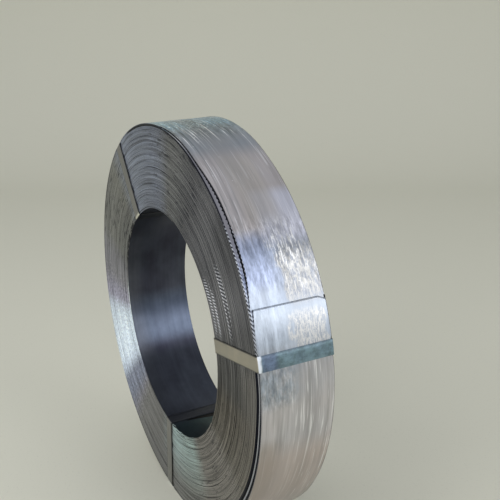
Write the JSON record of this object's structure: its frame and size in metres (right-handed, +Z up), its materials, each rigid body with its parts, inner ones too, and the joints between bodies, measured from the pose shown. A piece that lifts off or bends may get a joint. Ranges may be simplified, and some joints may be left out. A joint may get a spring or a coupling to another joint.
{
  "type": "steel strip coil",
  "caption": "Narrow slit steel strip wound into a coil with an open bore, standing on its rim, bound by flat steel straps through the bore.",
  "frame": {"origin": "on the bore's axis, half way across the strip's width", "axes": "+Y along the bore's axis, away from the near face; +Z up as the coil stands on its rim; +X to the right seen from the near face"},
  "size_m": [0.869, 0.1555, 0.8689],
  "materials": {
    "strip_steel": "bare cold rolled strip, fine scratches round the rim",
    "strap_steel": "smooth steel strapping, slightly glossy"
  },
  "bodies": {
    "root": {"coil": "strip_steel", "strap_right": "strap_steel", "strap_upper": "strap_steel", "strap_lower": "strap_steel"}
  },
  "joints": []
}
